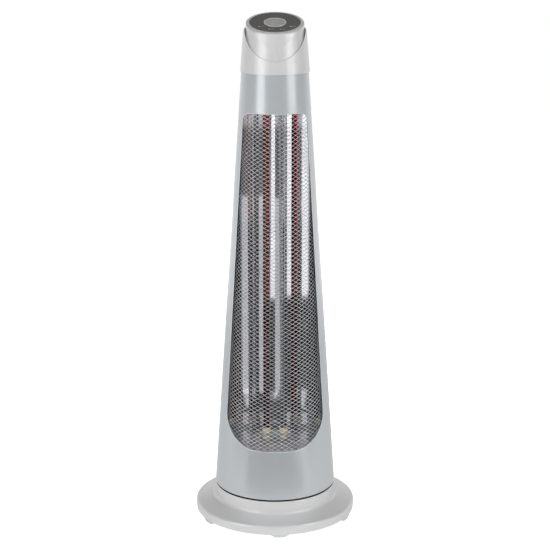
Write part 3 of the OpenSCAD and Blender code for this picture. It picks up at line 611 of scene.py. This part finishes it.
def mesh_piece(name: str, points: np.ndarray, faces: np.ndarray, smooth: bool) -> Object:
    """Puts points and faces into a new object at the origin.

    Args:
        name: the piece's name.
        points: an array of points, in metres.
        faces: an array of corner numbers, one row for each face.
        smooth: whether the faces are shaded smoothly.

    Returns:
        The object, linked to the scene.
    """
    mesh = bpy.data.meshes.new(name)
    mesh.from_pydata(points.astype(float).tolist(), [], faces.astype(int).tolist())
    mesh.polygons.foreach_set("use_smooth", np.full(len(mesh.polygons), smooth))
    mesh.update()
    piece = bpy.data.objects.new(name, mesh)
    bpy.context.scene.collection.objects.link(piece)
    return piece


def outward_faces(piece: Object) -> None:
    """Turns the faces of closed loose parts outwards.

    Args:
        piece: the object whose mesh is turned where needed.
    """
    work = bmesh.new()
    work.from_mesh(piece.data)
    bmesh.ops.recalc_face_normals(work, faces=work.faces)
    work.to_mesh(piece.data)
    work.free()


def tube_along(path: np.ndarray, radius: float, sides: int) -> tuple[np.ndarray, np.ndarray]:
    """A round tube along an open path, closed at both ends.

    Each ring stands square to the path. Its first axis is the cross product of the
    tangent with Z, or with X where the path is steep, and its second one is the cross
    product of the tangent with the first, so the tube has no kink.

    Args:
        path: points along the middle line.
        radius: the tube's radius.
        sides: faces round the tube.

    Returns:
        Points and triangles, whose faces point outwards.
    """
    steep = 0.9
    tangent = np.gradient(path, axis=0)
    tangent /= np.linalg.norm(tangent, axis=1, keepdims=True)
    up = np.where(np.abs(tangent[:, 2:3]) > steep, [[1.0, 0.0, 0.0]], [[0.0, 0.0, 1.0]])
    side = np.cross(tangent, up)
    side /= np.linalg.norm(side, axis=1, keepdims=True)
    over = np.cross(tangent, side)
    turn = (np.arange(sides) / sides * 2 * np.pi)[None, :, None]
    ring = radius * (np.cos(turn) * side[:, None, :] + np.sin(turn) * over[:, None, :])
    points = np.vstack([(path[:, None, :] + ring).reshape(-1, 3), path[:1], path[-1:]])
    rows, columns = np.mgrid[:len(path) - 1, :sides]
    after = (columns + 1) % sides
    quads = np.stack([rows * sides + columns, rows * sides + after, (rows + 1) * sides + after,
                      (rows + 1) * sides + columns], axis=-1).reshape(-1, 4)
    first, last = len(points) - 2, len(points) - 1
    ends = np.arange(sides)
    near = np.stack([np.full(sides, first), (ends + 1) % sides, ends], axis=-1)
    base = (len(path) - 1) * sides
    far = np.stack([np.full(sides, last), base + ends, base + (ends + 1) % sides], axis=-1)
    triangles = np.vstack([quads[:, [0, 1, 2]], quads[:, [0, 2, 3]], near, far])
    return points, triangles


# ---- the heater


@dataclass(frozen=True)
class TowerCone:
    """The cone of the tower's face, which narrows by 89 mm over 658 mm."""

    foot_radius: float = 94.0 * MM
    foot_z: float = 49.0 * MM
    taper: float = 89.0 / 2 / 658.0

    @property
    def lean(self) -> float:
        """The angle between the cone's side and its axis."""
        return math.atan(self.taper)

    def apex(self, depth: float) -> float:
        """The height of the apex of the cone that lies a depth inside the face."""
        return self.foot_z + (self.foot_radius - depth) / self.taper


@dataclass
class ExpandedGrille:
    """The grille: slit and stretched steel sheet, rolled to the tower's cone.

    The sheet lies depth inside the tower's face and reaches half_angle to each side of
    the front. A strand is as wide as strand in its middle and as knuckle at its knots,
    where the strands overlap a little.
    """

    cone: TowerCone = TowerCone()
    depth: float = 5.9 * MM
    cell_wide: float = 10.8 * MM
    cell_high: float = 6.1 * MM
    strand: float = 0.38 * MM
    knuckle: float = 0.56 * MM
    overlap: float = 0.18 * MM
    gauge: float = 0.42 * MM
    twist: float = math.radians(14.0)
    half_angle: float = math.radians(71.0)
    low: float = 111.6 * MM
    high: float = 637.4 * MM

    @property
    def slant(self) -> float:
        """The way along the sheet from its apex down to its lower edge."""
        return (self.cone.apex(self.depth) - self.low) / math.cos(self.cone.lean)

    def lattice(self) -> tuple[np.ndarray, np.ndarray]:
        """Ends of all strands on the flat sheet.

        Knots lie where the sum of column and row is even. Every knot sends one strand
        up to the right and one up to the left, where the next knot is on the sheet too.

        Returns:
            Two arrays of (across, up) points, a strand's start and its end.
        """
        lean, slant = self.cone.lean, self.slant
        rows = int((self.high - self.low) / math.cos(lean) / (self.cell_high / 2))
        widest = int(slant * math.sin(lean) * self.half_angle / (self.cell_wide / 2)) + 1
        column, row = np.mgrid[-widest:widest + 1, :rows + 1]
        across, up = column * self.cell_wide / 2, row * self.cell_high / 2
        turn = np.arctan2(across, slant - up) / math.sin(lean)
        knot = ((column + row) % 2 == 0) & (np.abs(turn) <= self.half_angle)
        flat = np.stack([across, up], axis=-1)
        right = knot[:-1, :-1] & knot[1:, 1:]
        left = knot[1:, :-1] & knot[:-1, 1:]
        starts = np.vstack([flat[:-1, :-1][right], flat[1:, :-1][left]])
        return starts, np.vstack([flat[1:, 1:][right], flat[:-1, 1:][left]])

    def roll(self, flat: np.ndarray) -> np.ndarray:
        """Rolls points of the flat sheet on the cone.

        A point's distance from the sheet's apex stays, its angle there grows by one
        over the sine of the cone's lean, and its height above the sheet goes outwards.

        Args:
            flat: points as (across, up, out).

        Returns:
            The same points in the heater's frame.
        """
        lean = self.cone.lean
        away = self.slant - flat[..., 1]
        reach = np.hypot(flat[..., 0], away)
        turn = np.arctan2(flat[..., 0], away) / math.sin(lean)
        radius = reach * math.sin(lean) + flat[..., 2]
        height = self.cone.apex(self.depth) - reach * math.cos(lean)
        return np.stack([radius * np.sin(turn), -radius * np.cos(turn), height], axis=-1)

    def build(self) -> Object:
        """Builds the mesh: each strand is a twisted bar, wider at its knots.

        A bar has twelve points: a four-cornered section at its start, middle and end.
        The section's long side leans out of the sheet by the twist, the same way for
        every strand.

        Returns:
            The grille's object.
        """
        start, end = self.lattice()
        along = end - start
        length = np.linalg.norm(along, axis=1, keepdims=True)
        along /= length
        square = np.stack([-along[:, 1], along[:, 0]], axis=-1)
        square *= np.sign(square[:, 1:2])
        stations = np.array([0.0, 0.5, 1.0])
        spread = np.array([self.knuckle, self.strand, self.knuckle]) / 2
        run = stations[None, :, None] * (length[:, None] + 2 * self.overlap) - self.overlap
        middle = start[:, None, :] + run * along[:, None, :]
        corner_wide = np.array([-1.0, 1.0, 1.0, -1.0])
        corner_thick = np.array([-1.0, -1.0, 1.0, 1.0]) * self.gauge / 2
        wide = spread[None, :, None] * corner_wide[None, None, :]
        thick = np.broadcast_to(corner_thick[None, None, :], wide.shape)
        in_sheet = wide * math.cos(self.twist) - thick * math.sin(self.twist)
        flat = np.empty((len(start), 3, 4, 3))
        flat[..., :2] = middle[:, :, None, :] + in_sheet[..., None] * square[:, None, None, :]
        flat[..., 2] = wide * math.sin(self.twist) + thick * math.cos(self.twist)
        points = self.roll(flat).reshape(-1, 3)
        ring = np.arange(4)
        after = (ring + 1) % 4
        walls = np.stack([ring, after, after + 4, ring + 4], axis=-1)
        faces = np.vstack([walls, walls + 4, [[3, 2, 1, 0], [8, 9, 10, 11]]])
        every = (np.arange(len(start)) * 12)[:, None, None] + faces[None]
        piece = mesh_piece("grille_mesh", points, every.reshape(-1, 4), smooth=False)
        outward_faces(piece)
        return piece


@dataclass
class WoundFilament:
    """A tube's filament: a close coil on the tube's axis, held by wire rings."""

    name: str
    x: float
    y: float = -20.0 * MM
    low: float = 134.0 * MM
    high: float = 644.5 * MM
    coil_radius: float = 1.15 * MM
    turns: int = 300
    turn_points: int = 10
    wire_radius: float = 0.24 * MM
    wire_sides: int = 4
    ring_radius: float = 2.9 * MM
    ring_gap: float = 36.0 * MM
    ring_flare: float = 1.3 * MM

    def build(self) -> Object:
        """Builds the coil and its support rings as one piece.

        The coil's point turns about the axis at an even rate while it climbs. Once in
        every ring gap, its radius grows to that of a ring and back, within the flare to
        each side and eased at both ends.

        Returns:
            The filament's object.
        """
        share = np.linspace(0.0, 1.0, self.turns * self.turn_points)
        climb = self.low + share * (self.high - self.low)
        turn = share * self.turns * 2 * np.pi
        near_ring = np.abs(((climb - self.low) / self.ring_gap + 0.5) % 1.0 - 0.5) * self.ring_gap
        flare = np.clip(1.0 - near_ring / self.ring_flare, 0.0, 1.0)
        eased = flare * flare * (3 - 2 * flare)
        reach = self.coil_radius + (self.ring_radius - self.coil_radius) * eased
        x, y = self.x + reach * np.cos(turn), self.y + reach * np.sin(turn)
        path = np.stack([x, y, climb], axis=-1)
        points, faces = tube_along(path, self.wire_radius, self.wire_sides)
        return mesh_piece(self.name, points, faces, smooth=True)


@dataclass
class PanelMarks:
    """Pale printed pictograms on the sloped control panel, and the mark on its button.

    Places on the panel are (right, back) from its centre. mark is half a pictogram's
    height, a turn is what an arc runs through, in degrees from the right, and a rise is
    the print's height above the face that carries it.
    """

    tilt: float = math.radians(17.2)
    centre_z: float = 765.5 * MM
    line: float = 0.55 * MM
    print_depth: float = 0.08 * MM
    panel_rise: float = 0.06 * MM
    lamps: tuple[tuple[Pictogram, float, float], ...] = (
        (Pictogram.ONE_BAR, -23.0 * MM, -16.5 * MM),
        (Pictogram.TWO_BARS, -8.3 * MM, -27.1 * MM),
        (Pictogram.SWING, 8.3 * MM, -27.1 * MM),
        (Pictogram.CLOCK, 23.0 * MM, -16.5 * MM),
    )
    lamp_gap: float = 4.6 * MM
    mark: float = 2.1 * MM
    bar_shift: float = 0.9 * MM
    swing_turn: tuple[float, float] = (40.0, 140.0)
    clock_turn: tuple[float, float] = (0.0, 352.8)
    button_y: float = -1.2 * MM
    button_rise: float = 0.05 * MM
    button_ring: float = 5.0 * MM
    button_turn: tuple[float, float] = (122.0, 418.0)
    button_bar: tuple[float, float] = (1.4 * MM, 6.4 * MM)
    dish_radius: float = 60.0 * MM

    def to_panel(self, flat: np.ndarray) -> np.ndarray:
        """Tilts points of the panel's own plane about X and lifts them to the panel.

        Args:
            flat: points as (right, back, up).

        Returns:
            The same points in the heater's frame.
        """
        c, s = math.cos(self.tilt), math.sin(self.tilt)
        x, y, z = flat.T
        return np.stack([x, y * c - z * s, self.centre_z + y * s + z * c], axis=-1)

    def stroke(self, line: np.ndarray, height: float | np.ndarray,
               closed: bool = False) -> tuple[np.ndarray, np.ndarray]:
        """A printed line of even width along points of the panel's plane.

        The outline is the line moved half a width to each side; top and underside are
        joined by the walls between them, so the print is a closed thin solid.

        Args:
            line: points (right, back) along the stroke.
            height: the top of the print above the plane, one value or one for each point.
            closed: whether the stroke runs round to its start.

        Returns:
            Points in the heater's frame, and quads.
        """
        if closed:
            tangent = np.roll(line, -1, axis=0) - np.roll(line, 1, axis=0)
        else:
            tangent = np.gradient(line, axis=0)
        tangent /= np.linalg.norm(tangent, axis=1, keepdims=True)
        side = np.stack([-tangent[:, 1], tangent[:, 0]], axis=-1) * self.line / 2
        count = len(line)
        top = np.broadcast_to(height, (count,))
        low = top - self.print_depth
        corner = ((side, top), (-side, top), (-side, low), (side, low))
        rail = np.stack([np.column_stack([line + way, high]) for way, high in corner], axis=1)
        last = count if closed else count - 1
        step, edge = np.mgrid[:last, :4]
        after, next_edge = (step + 1) % count, (edge + 1) % 4
        quads = np.stack([step * 4 + edge, after * 4 + edge, after * 4 + next_edge,
                          step * 4 + next_edge], axis=-1).reshape(-1, 4)
        if not closed:
            tail = (count - 1) * 4
            quads = np.vstack([quads, [[0, 1, 2, 3], [tail + 3, tail + 2, tail + 1, tail]]])
        return self.to_panel(rail.reshape(-1, 3)), quads

    def arc(self, centre: np.ndarray, radius: float, start: float, end: float,
            count: int = 25) -> np.ndarray:
        """Points of an arc in the panel's plane, from a start to an end in degrees."""
        turn = np.radians(np.linspace(start, end, count))
        return centre + radius * np.stack([np.cos(turn), np.sin(turn)], axis=-1)

    def draw(self, sign: Pictogram, at: np.ndarray) -> list[tuple[np.ndarray, bool]]:
        """The lines of a pictogram.

        Args:
            sign: the pictogram.
            at: its middle on the panel.

        Returns:
            Each line's points, and whether it runs round to its start.
        """
        upright = at + [[0.0, -self.mark], [0.0, self.mark]]
        if sign is Pictogram.ONE_BAR:
            return [(upright, False)]
        if sign is Pictogram.TWO_BARS:
            return [(upright + [shift, 0.0], False) for shift in (-self.bar_shift, self.bar_shift)]
        if sign is Pictogram.SWING:
            foot = upright[0]
            hand = np.array([foot, at + [0.0, 0.2 * self.mark]])
            return [(self.arc(foot, 1.5 * self.mark, *self.swing_turn), False), (hand, False)]
        hand = np.array([at, at + [0.0, 0.62 * self.mark]])
        return [(self.arc(at, self.mark, *self.clock_turn, 50), True), (hand, False)]

    def join(self, name: str, strokes: Sequence[tuple[np.ndarray, np.ndarray]]) -> Object:
        """Joins strokes to one piece.

        Args:
            name: the piece's name.
            strokes: points and faces of each stroke.

        Returns:
            The piece.
        """
        points, faces, count = [], [], 0
        for stroke_points, stroke_faces in strokes:
            points.append(stroke_points)
            faces.append(stroke_faces + count)
            count += len(stroke_points)
        piece = mesh_piece(name, np.vstack(points), np.vstack(faces), smooth=False)
        outward_faces(piece)
        return piece

    def build_panel(self) -> Object:
        """Builds the pictograms, each to the right of its lamp.

        Returns:
            The print on the panel, as one piece.
        """
        strokes = [self.stroke(line, self.panel_rise, closed)
                   for sign, x, y in self.lamps
                   for line, closed in self.draw(sign, np.array([x + self.lamp_gap, y]))]
        return self.join("panel_marks", strokes)

    def build_button(self) -> Object:
        """Builds the on and off mark in the button's dish: an open ring and a bar.

        The dish is a part of a sphere that touches the panel's plane, so the print
        rises with the square of its distance from the middle over twice the radius.

        Returns:
            The print on the button, as one piece.
        """
        centre = np.array([0.0, self.button_y])
        bar = np.stack([np.zeros(7), np.linspace(*self.button_bar, 7)], axis=-1) + centre
        strokes = []
        for line in (self.arc(centre, self.button_ring, *self.button_turn, 60), bar):
            away = np.sum((line - centre) ** 2, axis=1)
            strokes.append(self.stroke(line, away / (2 * self.dish_radius) + self.button_rise))
        return self.join("button_mark", strokes)


@dataclass
class Heater:
    """The whole heater: carried-over nodes and new pieces."""

    nodes: dict[str, Object]
    node_slots: dict[str, Slot]
    tube_x: float = 13.2 * MM

    def dress_frame(self) -> None:
        """Gives every CAD node the finish of its slot."""
        for name, node in self.nodes.items():
            slot = self.node_slots[name]
            dress(node, slot)
            log.info("node %s: %s", name, slot.value)

    def adopt(self, piece: Object, body: Body, slot: Slot, *replaced: str) -> None:
        """Args:
            piece: the new piece.
            body: the body that it moves with.
            slot: its finish.
            *replaced: the CAD nodes that it stands for.
        """
        dress(piece, slot)
        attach(piece, body.value)
        if replaced:
            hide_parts(*replaced)
        log.info("piece %s: %d faces on %s", piece.name, len(piece.data.polygons), body.value)

    def build(self) -> None:
        """Builds every new piece, dresses it, sets it on its body and hides what it replaces."""
        self.adopt(ExpandedGrille().build(), Body.TOWER, Slot.BRIGHT_STEEL, "grille")
        for side, x in (("left", -self.tube_x), ("right", self.tube_x)):
            coil = WoundFilament(f"{side}_coil", x)
            self.adopt(coil.build(), Body.TOWER, Slot.TUNGSTEN, f"{side}_filament")
        marks = PanelMarks()
        self.adopt(marks.build_panel(), Body.TOWER, Slot.LENS)
        self.adopt(marks.build_button(), Body.BUTTON, Slot.SATIN_TRIM)


# ---- the studio


@dataclass(frozen=True)
class Softbox:
    """One upright soft lamp, which faces the heater's axis."""

    name: str
    azimuth: float
    reach: float
    wide: float
    low: float
    high: float
    level: float

    def build(self) -> None:
        """Stands the lamp at its azimuth, in degrees from the front to the right."""
        turn = math.radians(self.azimuth)
        middle = (self.low + self.high) / 2
        place = Vector((self.reach * math.sin(turn), -self.reach * math.cos(turn), middle))
        inwards = Vector((0.0, 0.0, middle)) - place
        hang_lamp(self.name, place, inwards, self.wide, self.high - self.low, self.level)


@dataclass(frozen=True)
class HungLamp:
    """A soft lamp that hangs before, behind or above the heater, turned to its aim."""

    name: str
    place: tuple[float, float, float]
    aim: tuple[float, float, float]
    wide: float
    high: float
    level: float
    mirrored: bool = False

    def build(self) -> None:
        """Hangs the lamp."""
        place = Vector(self.place)
        way = Vector(self.aim) - place
        hang_lamp(self.name, place, way, self.wide, self.high, self.level, self.mirrored)


def hang_lamp(name: str, place: Vector, way: Vector, wide: float, high: float, level: float,
              mirrored: bool = True) -> None:
    """Adds a rectangular white lamp that the camera doesn't see.

    Its power is its level times pi and its area.

    Args:
        name: the lamp's name.
        place: its middle.
        way: where it faces.
        wide: its width.
        high: its height.
        level: the brightness of its face, 1 for white.
        mirrored: whether glossy surfaces show it.
    """
    lamp = bpy.data.lights.new(name, "AREA")
    lamp.shape = "RECTANGLE"
    lamp.size, lamp.size_y = wide, high
    lamp.energy = level * math.pi * wide * high
    holder = bpy.data.objects.new(name, lamp)
    turned = way.to_track_quat("-Z", "Y").to_matrix().to_4x4()
    holder.matrix_world = Matrix.Translation(place) @ turned
    holder.visible_camera = False
    holder.visible_glossy = mirrored
    bpy.context.scene.collection.objects.link(holder)


@dataclass
class Studio:
    """Camera, floor, dark card, surround and lamps.

    Levels are brightness, 1 for white: the floor's near and far ones are what
    reflections show, and front, side, back and above are the surround's. Spans say where
    a change starts and ends: a distance from the axis for the floor and the card, an
    azimuth in degrees for front and back, the rise of a ray for above. Each ring of the
    card has its radius and the azimuth in degrees that it reaches.
    """

    focal: float = 97.27
    sensor: float = 36.0
    place: tuple[float, float, float] = (0.0, -2.213, 0.948)
    pitch: float = 14.37
    clip_end: float = 50.0
    floor_size: float = 9.0
    floor_tones: tuple[Colour, Colour] = ((0.80, 0.80, 0.80), (0.82, 0.82, 0.82))
    floor_seen: float = 0.9
    floor_near: float = 0.24
    floor_far: float = 0.70
    floor_span: tuple[float, float] = (1.0, 1.9)
    card_rings: tuple[tuple[float, float], ...] = (
        (0.30, 50.0), (0.55, 50.0), (0.60, 80.0), (4.0, 80.0))
    card_points: int = 33
    card_z: float = 3.0 * MM
    card_tones: tuple[Colour, Colour] = ((0.018, 0.019, 0.021), (0.027, 0.029, 0.032))
    card_far: Colour = (0.34, 0.34, 0.35)
    card_span: tuple[float, float] = (1.8, 2.6)
    front: float = 0.05
    side: float = 0.41
    back: float = 0.95
    above: float = 0.18
    front_span: tuple[float, float] = (36.0, 95.0)
    back_span: tuple[float, float] = (100.0, 140.0)
    above_span: tuple[float, float] = (0.25, 0.60)
    lamps: tuple[Softbox | HungLamp, ...] = (
        Softbox("left_softbox", -46.5, 1.1, 0.52, 0.04, 1.5, 1.8),
        Softbox("right_softbox", 55.0, 1.1, 0.55, 0.56, 1.6, 1.8),
        Softbox("low_softbox", 47.0, 0.5, 0.21, 0.01, 0.40, 0.85),
        HungLamp("front_fill", (0.0, -2.5, 1.05), (0.0, 0.0, 0.42), 2.6, 1.0, 3.0),
        HungLamp("low_fill", (0.0, -1.3, 0.32), (0.0, 0.0, 0.10), 1.4, 0.3, 1.75),
        HungLamp("top_fill", (0.0, 0.0, 2.4), (0.0, 0.0, 0.0), 1.8, 1.8, 0.7),
        HungLamp("back_fill", (0.0, 2.5, 0.75), (0.0, 0.0, 0.42), 2.6, 1.0, 1.8),
        HungLamp("edge_strip", (0.0, -1.3, 1.9), (0.0, 0.0, 0.4), 1.8, 0.4, 1.5, mirrored=True),
    )

    def build_camera(self) -> None:
        """Sets the camera at the photograph's viewing angle."""
        data = bpy.data.cameras.new("camera")
        data.sensor_width = self.sensor
        data.lens = self.focal
        data.clip_end = self.clip_end
        camera = bpy.data.objects.new("camera", data)
        camera.location = self.place
        camera.rotation_euler = (math.radians(90.0 - self.pitch), 0.0, 0.0)
        bpy.context.scene.collection.objects.link(camera)
        bpy.context.scene.camera = camera

    def build_floor(self) -> None:
        """Lays the white floor: matt for the heater's shadow, lifted to white where it is seen.

        Reflections show it less lifted than the camera does, and least near the heater.
        """
        half = self.floor_size / 2
        points = np.array([[-half, -half, 0], [half, -half, 0], [half, half, 0], [-half, half, 0]])
        floor = mesh_piece("studio_floor", points, np.array([[0, 1, 2, 3]]), smooth=False)
        graph = MaterialGraph("studio_floor")
        cloud = graph.node("TexNoise", Vector=graph.place, Scale=1.5, Detail=2.0)
        away = graph.vector("LENGTH", graph.place, out="Value")
        level = graph.span(away, *self.floor_span, self.floor_near, self.floor_far)
        mirrored = graph.math("MULTIPLY", graph.node("LightPath").outputs["Is Glossy Ray"], level)
        seen = graph.math("MULTIPLY", graph.seen(), self.floor_seen)
        graph.feed(graph.shader, Roughness=0.9,
                   Base_Color=graph.blend(cloud.outputs[0], *map(rgba, self.floor_tones)),
                   Specular_IOR_Level=0.0, Emission_Color=rgba(WHITE),
                   Emission_Strength=graph.math("MAXIMUM", seen, mirrored))
        floor.data.materials.append(graph.material)

    def build_card(self) -> None:
        """Lays a dark card round the front, low down: polished metal shows it, the camera doesn't.

        Its points lie on arcs about the axis, one for each ring, and its felt is paler
        far out.
        """
        reach, half = np.array(self.card_rings).T
        turn = np.radians(half[:, None] * np.linspace(-1.0, 1.0, self.card_points)[None, :])
        points = np.stack([reach[:, None] * np.sin(turn), -reach[:, None] * np.cos(turn),
                           np.full(turn.shape, self.card_z)], axis=-1).reshape(-1, 3)
        ring, step = np.mgrid[:len(reach) - 1, :self.card_points - 1]
        near = ring * self.card_points + step
        over = near + self.card_points
        faces = np.stack([near, over, over + 1, near + 1], axis=-1).reshape(-1, 4)
        card = mesh_piece("studio_card", points, faces, smooth=False)
        graph = MaterialGraph("studio_card")
        felt = graph.node("TexNoise", Vector=graph.place, Scale=120.0, Detail=2.0)
        felted = graph.blend(felt.outputs[0], *map(rgba, self.card_tones))
        far = graph.span(graph.vector("LENGTH", graph.place, out="Value"), *self.card_span)
        graph.feed(graph.shader, Base_Color=graph.blend(far, felted, rgba(self.card_far)),
                   Roughness=1.0, Specular_IOR_Level=0.0)
        card.data.materials.append(graph.material)
        card.visible_camera = False
        card.visible_diffuse = False
        card.visible_shadow = False

    def build_world(self) -> None:
        """Surrounds the heater: white where it is seen, bright behind, dim round the camera.

        The level follows the azimuth of a ray: front, then side, then back, with soft
        changes between them, and a level of its own high up.
        """
        world = bpy.data.worlds.new("surround")
        bpy.context.scene.world = world
        world.use_nodes = True
        graph = Graph(world.node_tree)
        way = graph.node("TexCoord").outputs["Generated"]
        x, y, z = graph.node("SeparateXYZ", Vector=way).outputs
        turn = graph.math("ABSOLUTE", graph.math("ARCTAN2", x, graph.math("MULTIPLY", y, -1.0)))
        front = graph.span(turn, *np.radians(self.front_span), self.front, self.side)
        behind = graph.span(turn, *np.radians(self.back_span), 0.0, self.back - self.side)
        level = graph.node("Mix", {"data_type": "FLOAT"}, Factor=graph.span(z, *self.above_span),
                           A=graph.math("ADD", front, behind), B=self.above).outputs[0]
        strength = graph.math("MAXIMUM", level, graph.seen())
        shade = graph.node("Background", Color=rgba(WHITE), Strength=strength)
        graph.feed(world.node_tree.nodes["World Output"], Surface=shade.outputs[0])

    def build(self) -> None:
        """Sets up everything round the heater."""
        self.build_camera()
        self.build_floor()
        self.build_card()
        self.build_world()
        for lamp in self.lamps:
            lamp.build()
        bpy.context.scene.view_settings.view_transform = "Standard"


def main() -> None:
    """Loads the frame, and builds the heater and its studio."""
    logging.basicConfig(level=logging.INFO, format="%(message)s", stream=sys.stdout)
    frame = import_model()
    node_slots = {part["node"]: Slot(part["material_slot"])
                  for part in frame["record"]["subparts"]}
    heater = Heater(frame["nodes"], node_slots)
    heater.dress_frame()
    heater.build()
    Studio().build()


if __name__ == "__main__":
    main()
